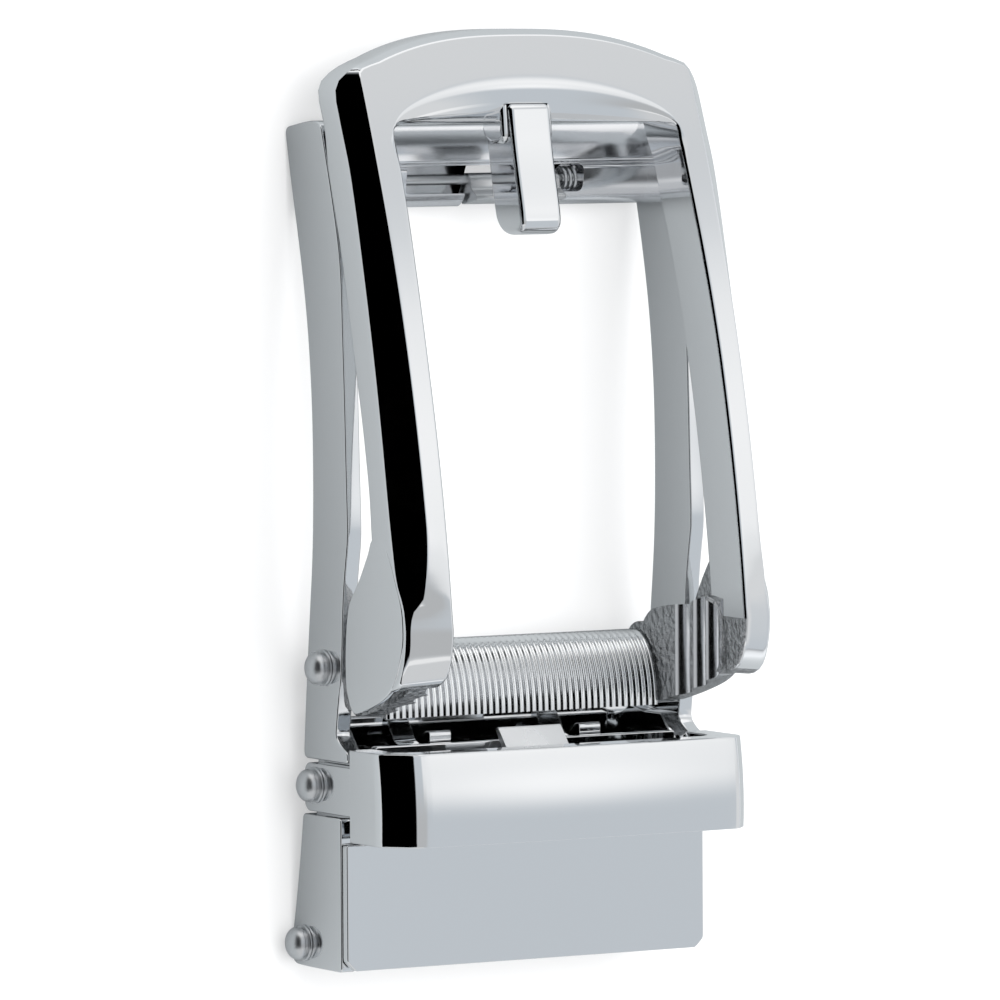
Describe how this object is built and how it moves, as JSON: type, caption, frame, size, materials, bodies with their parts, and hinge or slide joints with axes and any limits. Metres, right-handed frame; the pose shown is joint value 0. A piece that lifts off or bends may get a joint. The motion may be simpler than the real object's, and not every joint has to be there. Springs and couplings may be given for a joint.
{
  "type": "ratchet belt buckle",
  "caption": "Chromed ratchet belt buckle: an arched front frame on hinged ears, a ribbed cam bar, a square strap loop, a toothed strap clamp and a sprung pawl in the crossbar.",
  "frame": {"origin": "middle of the bounding box's base, on the surface the buckle lies on", "axes": "+X across the strap to the viewer's right, +Y along the strap to the arched end of the frame, +Z out of the front"},
  "size_m": [0.0436, 0.09, 0.0254],
  "materials": {
    "chrome": "mirror-polished chrome plate on a zinc casting",
    "steel": "bright plated steel"
  },
  "bodies": {
    "chassis_body": {"chassis": "chrome", "keeper": "chrome", "pawl_pin": "steel", "pawl_spring": "steel", "rivet_pivot_left": "steel", "rivet_pivot_right": "steel", "rivet_keeper_left": "steel", "rivet_keeper_right": "steel", "rivet_clamp_left": "steel", "rivet_clamp_right": "steel"},
    "frame_body": {"front_frame": "chrome", "prong": "chrome", "ribbed_bar": "chrome"},
    "flap_body": {"clamp_flap": "chrome"},
    "pawl_body": {"pawl": "steel"}
  },
  "joints": [
    {"name": "frame_hinge", "type": "hinge", "parent": "chassis_body", "child": "frame_body", "pos_m": [0, -0.0159, 0.0069], "axis": [1, 0, 0], "range_deg": [0, 20]},
    {"name": "flap_hinge", "type": "hinge", "parent": "chassis_body", "child": "flap_body", "pos_m": [0, -0.0427, 0.0027], "axis": [1, 0, 0], "range_deg": [0, 9]},
    {"name": "pawl_hinge", "type": "hinge", "parent": "chassis_body", "child": "pawl_body", "pos_m": [0, 0.03045, 0.003], "axis": [1, 0, 0], "range_deg": [0, 12], "stiffness_Nm_per_rad": 0.01, "springref_deg": -5.73}
  ]
}
